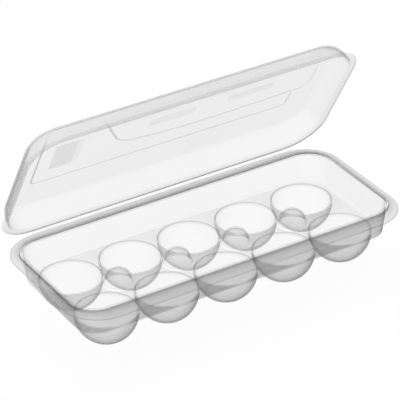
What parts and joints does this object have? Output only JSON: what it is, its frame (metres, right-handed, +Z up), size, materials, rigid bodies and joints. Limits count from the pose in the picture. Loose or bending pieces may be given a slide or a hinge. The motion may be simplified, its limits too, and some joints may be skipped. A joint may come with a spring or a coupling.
{
  "type": "egg holder tray",
  "caption": "Translucent plastic egg storage box: two rows of round cups in a walled tray, with a shallow lid hinged along the rear edge and shown standing open.",
  "frame": {"origin": "centre of the bounding box's bottom face, on the surface the cups stand on", "axes": "+X along the length towards the right end, +Y from the open front towards the hinge, +Z up"},
  "size_m": [0.2798, 0.1378, 0.1568],
  "materials": {
    "tray_plastic": "clear frosted polypropylene, smooth satin gloss",
    "cup_plastic": "clear frosted polypropylene, smooth satin gloss, faint warm tint",
    "lid_plastic": "clear frosted polypropylene, smooth satin gloss, faint cool tint",
    "hinge_film": "thin worked polypropylene film, whitened by folding"
  },
  "bodies": {
    "tray": {"tray_deck": "tray_plastic", "tray_wall": "tray_plastic", "tray_flange": "tray_plastic", "tray_lip": "tray_plastic", "tray_hinge_leaf": "hinge_film", "egg_cup_rear_1": "cup_plastic", "egg_cup_rear_2": "cup_plastic", "egg_cup_rear_3": "cup_plastic", "egg_cup_rear_4": "cup_plastic", "egg_cup_rear_5": "cup_plastic", "egg_cup_front_1": "cup_plastic", "egg_cup_front_2": "cup_plastic", "egg_cup_front_3": "cup_plastic", "egg_cup_front_4": "cup_plastic", "egg_cup_front_5": "cup_plastic", "pillar_1": "tray_plastic", "pillar_2": "tray_plastic", "pillar_3": "tray_plastic", "pillar_4": "tray_plastic"},
    "lid": {"lid_wall": "lid_plastic", "lid_flange": "lid_plastic", "lid_top_panel": "lid_plastic", "lid_label_panel": "lid_plastic", "lid_crest_panel": "lid_plastic", "lid_hinge_leaf": "hinge_film"}
  },
  "joints": [
    {"name": "lid_hinge", "type": "hinge", "parent": "tray", "child": "lid", "pos_m": [0, 0.06309, 0.04355], "axis": [-1, 0, 0], "range_deg": [-58.5, 121.5]}
  ]
}
